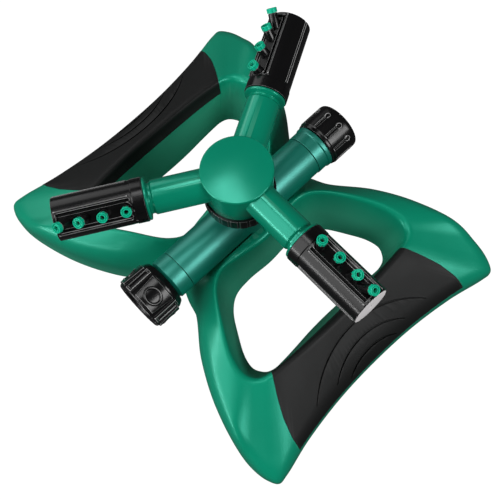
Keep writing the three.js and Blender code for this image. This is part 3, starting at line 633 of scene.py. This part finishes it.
def nut_shape(angle, radius, height):
    """Flared thumb panels with a rimmed hollow in each, rib loops between them, and the hose thread."""
    outside = (radius > NUT_RADIUS - 0.6) & (height < NUT_COLLAR)
    along = height - NUT_MIDDLE
    across = from_middle(angle, NUT_PANELS, NUT_TURN) * PANEL_RADIUS
    length = plateau(abs(along), PANEL_LENGTH_HALF, 0.5)
    panel = plateau(abs(across) - PANEL_SLANT * along, PANEL_HALF, 0.9) * length
    reach = np.hypot(across / HOLLOW_WIDE, (height - HOLLOW_MIDDLE) / HOLLOW_LONG)
    lip = plateau(abs(reach - 1.08), 0.02, 0.16) * 0.3
    hollow = plateau(reach, 0.86, 0.14) * HOLLOW_DEPTH
    gap = from_middle(angle, NUT_PANELS, NUT_TURN + 180 / NUT_PANELS) * PANEL_RADIUS
    loop = abs(np.maximum(abs(gap) * 2.2, abs(along) - 3.6) - 4.4)
    ribs = plateau(loop, 0.7, 0.5)
    rise = (PANEL_RADIUS - NUT_RADIUS) * np.maximum(panel, ribs) - hollow + lip
    hose = thread(NUT_START + 0.5, -75.5, THREAD_CREST, THREAD_CREST - 0.9)
    return hose(angle, radius, height) + outside * rise


hose_nut = on_pipe([
    (16, NUT_END, 0.8), (10.7, NUT_END), (10.7, -75), (THREAD_CREST, -75), (THREAD_CREST, NUT_START + 1.5),
    (THREAD_CREST + 1.2, NUT_START + 0.3), (16.6, NUT_START + 0.3), (17.2, NUT_START, 0.2),
    (NUT_RADIUS, NUT_START + 0.8, 0.3), (NUT_RADIUS, NUT_SHOULDER, 0.8),
], 0.3, 600, nut_shape, 0.3)
show(hose_nut, "hose_nut", "hose_nut", "black_plastic", "inlet_nut", sharp=60)

# -------------------------------------------------------------------- end cap
CAP_START, CAP_END = span("end_cap", 0)
CAP_RADIUS, CAP_BORE, CAP_FLOOR = 17.2, THREAD_CREST + GAP, 87.4
CAP_FLUTES, CAP_TURN = 10, 21
FLUTE_START, FLUTE_END, FLUTE_DEPTH = 72.5, 84, 1.2
POCKET_MIDDLE, POCKET_RADIUS, POCKET_DEPTH = 84.2, 1.1, 1.7
RIM_END, RIM_DEPTH = 71.5, 0.5                            # the slightly thinner rim at the open end


def cap_shape(angle, radius, height):
    """Flutes that each end in a round pocket with a raised lip, a thinner rim, and the thread inside."""
    outside = radius > 15.2
    across = from_middle(angle, CAP_FLUTES, CAP_TURN) * CAP_RADIUS
    between = plateau(FLUTE_END - height, FLUTE_END - FLUTE_START, 0.4) * plateau(height, FLUTE_END, 0.4)
    line = plateau(abs(across), 0.7, 0.5) * between * FLUTE_DEPTH
    from_pocket = np.hypot(across, height - POCKET_MIDDLE)
    pocket = plateau(from_pocket, POCKET_RADIUS, 0.45) * POCKET_DEPTH
    lip = plateau(abs(from_pocket - 1.8), 0.1, 0.35) * 0.35
    rim = plateau(RIM_END - height, 0, 0.4) - 1
    inside = thread(CAP_START + 1, 86, CAP_BORE, THREAD_CREST - 0.5)
    return inside(angle, radius, height) + outside * (RIM_DEPTH * rim + lip - np.maximum(line, pocket))


outlet_cap = on_pipe([
    (0, CAP_FLOOR), (CAP_BORE, CAP_FLOOR), (CAP_BORE, CAP_START), (17, CAP_START),
    (CAP_RADIUS, CAP_START + 0.8), (CAP_RADIUS, 90, 2.2), (15.5, 91.6, 1.5), (9, 92.8, 3), (0, CAP_END),
], 0.3, 320, cap_shape, 0.4)
show(outlet_cap, "outlet_cap", "cap", "black_plastic", "end_cap", sharp=60)

# ---------------------------------------------------------- spindle and rotor
# The spindle screws into the riser. Its head keeps the thrust washer and the rotor's collar down.
SPINDLE_BORE, SPINDLE_NECK, SPINDLE_HEAD = 5.4, 8, 12.4
HEAD_START, HEAD_END = 90.2, 93.2
rotor_spindle = turned("part", [
    (SPINDLE_BORE, 66), (7.9, 66), (7.9, RISER_TOP + GAP), (11.3, RISER_TOP + GAP), (11.3, 83),
    (SPINDLE_NECK, 83.4), (SPINDLE_NECK, HEAD_START), (SPINDLE_HEAD, HEAD_START), (SPINDLE_HEAD, HEAD_END),
    (SPINDLE_BORE, HEAD_END),
], 0.2)
show(rotor_spindle, "rotor_spindle", "stand", "black_plastic", "spindle")
thrust_ring = turned("part", ring(8.4, 12.6, 88.3, 89.9), 0.2)
show(thrust_ring, "thrust_ring", "stand", "bearing_white", "thrust_washer")
rotor_seal = turned("part", ring(12.7, 15.4, 90.6, 93), 0.5)
show(rotor_seal, "rotor_seal", "rotor", "seal_rubber", "spindle_seal")

COLLAR_RADIUS = span("retaining_collar", 0)[1]
COLLAR_BORE, COLLAR_FOOT, COLLAR_TOP = 8.4, 79.5, 94
COLLAR_NOTCHES, NOTCH_HALF, NOTCH_DEPTH = 24, 0.35, 0.25


def collar_shape(angle, radius, height):
    """Upright notches round the collar's outside."""
    across = from_middle(angle, COLLAR_NOTCHES, 0) * COLLAR_RADIUS
    return radius - (radius > 22.5) * NOTCH_DEPTH * plateau(abs(across), NOTCH_HALF, 0.35)


knurled_collar = turned("part", [
    (COLLAR_BORE, 83.9), (21.3, 83.9), (21.3, COLLAR_FOOT), (COLLAR_RADIUS, COLLAR_FOOT, 0.7),
    (COLLAR_RADIUS, 90), (18.1, 90), (18.1, COLLAR_TOP), (15.7, COLLAR_TOP), (15.7, 88), (COLLAR_BORE, 88),
], 0.3, 384, collar_shape)
show(knurled_collar, "knurled_collar", "rotor", "black_plastic", "retaining_collar", sharp=50)

# Names that end in _R are distances along an arm, from the rotor's axis.
JOINTS = {joint["name"]: joint for joint in frame["joints"]}
ARM_COUNT = sum(name.startswith("nozzle_twist") for name in JOINTS)
ARM_RADIUS, ARM_BORE, ARM_START_R, NECK_DEPTH = 10.8, 6.4, 10, 1
FLANGE_RADIUS, FLANGE_R = 13.3, 57.5
SPIGOT_RADIUS, SPIGOT_END_R = 9.3, 73
SEAL_GROOVE_R, SEAL_GROOVE_DEPTH = (63.8, 66.2), 1.5
HUB_LOW = span("hub_body", 2)[0]
HUB_RADIUS, HUB_BORE, HUB_RIM, HUB_STEP = 22, 18.4, 116.7, 112.2


def arm_matrix(i):
    """Takes +X to arm i's axis, with +Z kept up."""
    joint = JOINTS[f"nozzle_twist_{i}"]
    angle = math.atan2(joint["axis"][1], joint["axis"][0])
    return shift(z=joint["pos_m"][2] / MM) @ Matrix.Rotation(angle, 4, "Z")


def nozzle_matrix(i):
    """The same with arm i's rest twist, so that +Z goes to its nozzles."""
    low, high = JOINTS[f"nozzle_twist_{i}"]["range_deg"]
    return arm_matrix(i) @ turn(-(low + high) / 2, "X")


def hub():
    """The drum with its three arms, each with a flange and a grooved spigot that carries a nozzle tube."""
    drum = [(0, HUB_LOW), (HUB_RADIUS - 0.4, HUB_LOW), (HUB_RADIUS, HUB_RIM), (0, HUB_RIM)]
    body = turned("hub", drum, 0.3, 160)
    groove_start, groove_end = SEAL_GROOVE_R
    groove_radius = SPIGOT_RADIUS - SEAL_GROOVE_DEPTH
    arm = [
        (0, ARM_START_R), (ARM_RADIUS, ARM_START_R), (ARM_RADIUS, 52.5), (ARM_RADIUS - NECK_DEPTH, 53.6),
        (ARM_RADIUS - NECK_DEPTH, 55.2), (FLANGE_RADIUS, 56, 0.5), (FLANGE_RADIUS, FLANGE_R, 0.4),
        (SPIGOT_RADIUS, FLANGE_R), (SPIGOT_RADIUS, groove_start), (groove_radius, groove_start),
        (groove_radius, groove_end), (SPIGOT_RADIUS, groove_end), (SPIGOT_RADIUS, SPIGOT_END_R),
        (0, SPIGOT_END_R),
    ]
    for i in range(ARM_COUNT):
        body = unite(body, moved(turned("arm", arm, 0.3, 112), arm_matrix(i) @ ONTO_X))
    body = cut(body, rod(HUB_BORE, HUB_LOW - 1, HUB_STEP, 112), rod(HUB_BORE + 0.4, 112, 118, 112))
    for i in range(ARM_COUNT):
        body = cut(body, moved(rod(ARM_BORE, 8, 90), arm_matrix(i) @ ONTO_X))
    return body


show(hub(), "rotor_hub", "rotor", "rotor_green", "hub_body")

LID_RADIUS, LID_TOP = span("hub_lid", 0)[1], span("hub_lid", 2)[1]
LID_FOOT, LID_RIM = 112.8, HUB_RIM + GAP
DOME_RISE, DOME_RADIUS = 1.15, 21.6
DOME = [(r, LID_TOP - DOME_RISE * (r / DOME_RADIUS) ** 2, 2) for r in (21.4, 17, 12, 7, 3)]
rotor_lid = turned("part", [
    (0, LID_FOOT), (HUB_BORE, LID_FOOT), (HUB_BORE, LID_RIM), (LID_RADIUS, LID_RIM),
    (LID_RADIUS, 117.9, 0.25), (22.1, 118.5, 0.25), *DOME, (0, LID_TOP),
], 0.3, 192)
show(rotor_lid, "rotor_lid", "rotor", "rotor_green", "hub_lid")

# ------------------------------------------------------- nozzle tubes and tips
TUBE_RADIUS, TUBE_COLLAR, TUBE_BORE, SOCKET_RADIUS = 13.5, 13.85, 8, 10.2
TUBE_START_R, TUBE_STEP_R, TUBE_END_R = FLANGE_R + GAP, 65, 113
RAIL_START_R, RAIL_END_R, STRIP_START_R, CHANNEL_END_R = 67, 112, 66.3, 110.4
CHANNEL_FLOOR, STRIP_TOP, STRIP_HALF = 10.4, 11.8, 4.3    # heights over the tube's axis, half width
GROOVE_ACROSS, RAIL_ACROSS = 5.5, 7.7                     # from the nozzles' line, round the tube
RAIL_RISE, BEAD_RISE, SLIT_DEPTH = 0.8, 0.45, 0.5
PLUG_RADIUS, PLUG_THICKNESS, PLUG_DEPTH, PLUG_LEDGE = 12.6, 1.7, 5, 1.6
TIP_HEIGHT, TIP_THICKNESS, TIP_RADIUS, TIP_HOLE = 20, 3, 3.3, 1.35
NOTCH_COUNT, STAR_POINTS = 8, 5
NOZZLES = [(69.2, 0), (83.8, 12), (98.4, 26), (111.4, 42)]    # distance of the tip along the arm, lean


def past(height, start, width, across):
    """1 beyond the rounded start of a slot of that half width, 0 before it."""
    bulge = width * (1 - np.sqrt(np.clip(1 - (across / width) ** 2, 0, 1)))
    return plateau(start + bulge - height, 0, 0.6)


def tube_shape(angle, radius, height):
    """A flat strip along the nozzles, a groove and a rail on either side, and a beaded slit per flank."""
    outside = (radius > TUBE_RADIUS - 0.7) & (height > RAIL_START_R - 1)
    away = abs((angle + math.pi) % (2 * math.pi) - math.pi)
    across = away * TUBE_RADIUS
    flat = np.cos(np.minimum(away, 1.0))
    channel = plateau(height, CHANNEL_END_R, 0.4)
    strip = plateau(across, STRIP_HALF, 0.4) * past(height, STRIP_START_R, 4.8, across) * channel
    from_groove = across - GROOVE_ACROSS
    groove = plateau(abs(from_groove), 0.7, 0.4) * past(height, RAIL_START_R, 1.1, from_groove) * channel
    from_rail = across - RAIL_ACROSS
    rail = plateau(abs(from_rail), 0.3, 0.35) * past(height, RAIL_START_R, 0.95, from_rail)
    flank = abs(across - TUBE_RADIUS * math.pi / 2)
    bead = plateau(abs(flank - 0.8), 0.1, 0.35) * past(height, RAIL_START_R, 1.25, flank)
    slit = plateau(flank, 0.3, 0.25) * past(height, RAIL_START_R + 0.8, 0.6, 0)
    rise = (RAIL_RISE * rail + BEAD_RISE * bead) * plateau(height, RAIL_END_R, 0.3)
    shaped = radius + rise - SLIT_DEPTH * slit
    shaped = shaped + strip * (STRIP_TOP / flat - radius)
    shaped = shaped + groove * (CHANNEL_FLOOR / flat - shaped)
    return np.where(outside, shaped, radius)


def nozzle_frame(r, lean):
    """Distance from the arm's axis to a tip's face, and the matrix that takes +Z onto that nozzle."""
    slope = math.radians(lean)
    return TIP_HEIGHT / math.cos(slope), shift(r - TIP_HEIGHT * math.tan(slope)) @ turn(lean, "Y")


def nozzle_tube():
    """A tube bored from both ends, with a post for each nozzle, bored through to the inside."""
    seat, stop, socket_end = TUBE_END_R - PLUG_THICKNESS - GAP, TUBE_END_R - PLUG_DEPTH, SPIGOT_END_R + 1
    body = turned("tube", [
        (SOCKET_RADIUS, TUBE_START_R), (TUBE_COLLAR, TUBE_START_R), (TUBE_COLLAR, TUBE_STEP_R - 0.3),
        (TUBE_RADIUS, TUBE_STEP_R), (TUBE_RADIUS, TUBE_END_R, 0.3), (PLUG_RADIUS + GAP, TUBE_END_R, 0.15),
        (PLUG_RADIUS + GAP, seat), (TUBE_BORE + PLUG_LEDGE, seat), (TUBE_BORE + PLUG_LEDGE, stop),
        (TUBE_BORE, stop), (TUBE_BORE, socket_end), (SOCKET_RADIUS, socket_end),
    ], 0.25, 420, tube_shape, 0.5)
    body = moved(body, ONTO_X)
    for r, lean in NOZZLES:
        length, foot = nozzle_frame(r, lean)
        top = length - TIP_THICKNESS - GAP
        post = turned("post", [(0, 9), (3.4, 9), (3.3, 12.2, 0.6), (2.95, top, 0.25), (0, top)], 0.3, 48)
        body = unite(body, moved(post, foot))
        body = cut(body, moved(rod(1.7, 5, 40, 24), foot))
    return body


def tip_shape(angle, radius, height):
    """Notches round the rim and a star-shaped hole."""
    across = from_middle(angle, NOTCH_COUNT, 0) * TIP_RADIUS
    notch = plateau(abs(across), 0.3, 0.2) * plateau(height, 2.2, 0.3)
    star = 0.5 * (0.5 + 0.5 * np.cos(STAR_POINTS * angle)) * plateau(1.9 - height, 0, 0.2)
    return radius - (radius > 3) * 0.45 * notch + (radius < 1.5) * star


def nozzle_tip():
    """A round tip with a raised rim and a small raised ring round its hole."""
    return turned("tip", [
        (TIP_HOLE, 0), (TIP_RADIUS, 0), (TIP_RADIUS, TIP_THICKNESS, 0.35), (2.75, TIP_THICKNESS, 0.2),
        (2.6, 2.2, 0.1), (2.2, 2.2, 0.1), (2.05, 2.7, 0.15), (1.45, 2.7, 0.15), (TIP_HOLE, 2.0, 0.1),
    ], 0.15, 80, tip_shape, 0.3)


def end_plug():
    """A stepped disc with a small blind hole in its face."""
    foot, face = TUBE_END_R - PLUG_DEPTH + GAP, TUBE_END_R - PLUG_THICKNESS
    shank, hole_floor = TUBE_BORE + PLUG_LEDGE - GAP, foot + 0.6
    return moved(turned("plug", [
        (0, foot), (shank, foot), (shank, face), (PLUG_RADIUS, face), (PLUG_RADIUS, TUBE_END_R, 0.3),
        (1.1, TUBE_END_R, 0.1), (1, hole_floor), (0, hole_floor),
    ], 0.2, 128), ONTO_X)


def copied(item, matrix):
    """Another object with the same mesh, moved by a matrix."""
    made = bpy.data.objects.new(item.name, item.data.copy())
    bpy.context.scene.collection.objects.link(made)
    return moved(made, matrix)


tube, plug, tip = nozzle_tube(), end_plug(), nozzle_tip()
for i in range(ARM_COUNT):
    matrix, body = nozzle_matrix(i), f"nozzle_arm_{i}"
    show(copied(tube, matrix), f"spray_tube_{i}", body, "black_plastic", f"nozzle_tube_{i}")
    show(copied(plug, matrix), f"tube_plug_{i}", body, "plug_grey", f"end_plug_{i}")
    for j, (r, lean) in enumerate(NOZZLES):
        length, foot = nozzle_frame(r, lean)
        seat = matrix @ foot @ shift(z=length - TIP_THICKNESS)
        show(copied(tip, seat), f"spray_tip_{i}_{j}", body, "tip_turquoise", f"nozzle_tip_{i}_{j}", sharp=50)
for spare in (tube, plug, tip):
    bpy.data.objects.remove(spare)


# ------------------------------------------------------ floor, light and camera
def stage_floor():
    """A floor just under the object, white to the camera, that throws little light back up at the object."""
    bpy.ops.mesh.primitive_plane_add(size=6, location=(0, 0, -0.2 * MM))
    floor = bpy.context.object
    floor.name = "floor"
    g = Graph("floor")
    place = g.node("ShaderNodeTexCoord").outputs["Object"]
    tone = g.mix(g.noise(place, 3, 2), srgb(66, 66, 66), srgb(70, 70, 70))
    g.link(tone, g.shader.inputs["Base Color"])
    g.shader.inputs["Roughness"].default_value = 0.9
    g.shader.inputs["Specular IOR Level"].default_value = 0.1
    g.shader.inputs["Emission Color"].default_value = (1, 1, 1, 1)
    glow = g.remap(g.node("ShaderNodeLightPath").outputs["Is Camera Ray"], 0, 1, 0, 1.0)
    g.link(glow, g.shader.inputs["Emission Strength"])
    floor.data.materials.append(g.material)


LIGHT_DISTANCE, LIGHT_TARGET = 1.2, (0, 0, 0.06)    # in metres


def softbox(name, azimuth, elevation, width, height, glow):
    """An area light facing the object, glow times as bright as white. Its width and height are in metres.

    Azimuth 0 is the -Y side and 90 the +X side.
    """
    light = bpy.data.lights.new(name, "AREA")
    light.shape = "RECTANGLE"
    light.size, light.size_y = width, height
    light.energy = glow * math.pi * width * height
    item = bpy.data.objects.new(name, light)
    bpy.context.scene.collection.objects.link(item)
    a, e = math.radians(azimuth), math.radians(elevation)
    away = Vector((math.sin(a) * math.cos(e), -math.cos(a) * math.cos(e), math.sin(e)))
    item.location = Vector(LIGHT_TARGET) + away * LIGHT_DISTANCE
    item.rotation_euler = away.to_track_quat("Z", "Y").to_euler()


def add_camera(azimuth, elevation, roll, position, lens):
    """The photo's camera, at a position in metres. Azimuth 0 looks along +Y."""
    camera = bpy.data.objects.new("camera", bpy.data.cameras.new("camera"))
    bpy.context.scene.collection.objects.link(camera)
    camera.data.lens = lens
    aim = turn(azimuth, "Z") @ turn(90 - elevation, "X") @ turn(roll, "Z")
    camera.matrix_world = Matrix.Translation(position) @ aim
    bpy.context.scene.camera = camera


FILL_LIGHT = 0.07


def add_world():
    """A world that is white to the camera, but only a faint fill light to the object."""
    world = bpy.data.worlds.new("world")
    world.use_nodes = True
    tree = world.node_tree
    dimmer = tree.nodes.new("ShaderNodeMapRange")
    dimmer.inputs["To Min"].default_value = FILL_LIGHT
    tree.links.new(tree.nodes.new("ShaderNodeLightPath").outputs["Is Camera Ray"], dimmer.inputs["Value"])
    tree.links.new(dimmer.outputs["Result"], tree.nodes["Background"].inputs["Strength"])
    tree.nodes["Background"].inputs["Color"].default_value = (1, 1, 1, 1)
    bpy.context.scene.world = world


stage_floor()
softbox("key", azimuth=15, elevation=37, width=0.65, height=0.55, glow=9)
softbox("left", azimuth=-115, elevation=40, width=0.8, height=1.9, glow=2.9)
softbox("overhead", azimuth=162, elevation=79, width=0.22, height=0.46, glow=6)
softbox("back", azimuth=180, elevation=28, width=1.0, height=0.8, glow=1.6)
softbox("edge_strip", azimuth=-105, elevation=13, width=1.3, height=0.07, glow=18)
add_world()
bpy.context.scene.view_settings.view_transform = "Standard"
CAMERA_PLACE = (-0.138942, -0.189103, 0.616006)
add_camera(azimuth=-36.655, elevation=69.848, roll=-7.672, position=CAMERA_PLACE, lens=66.1)
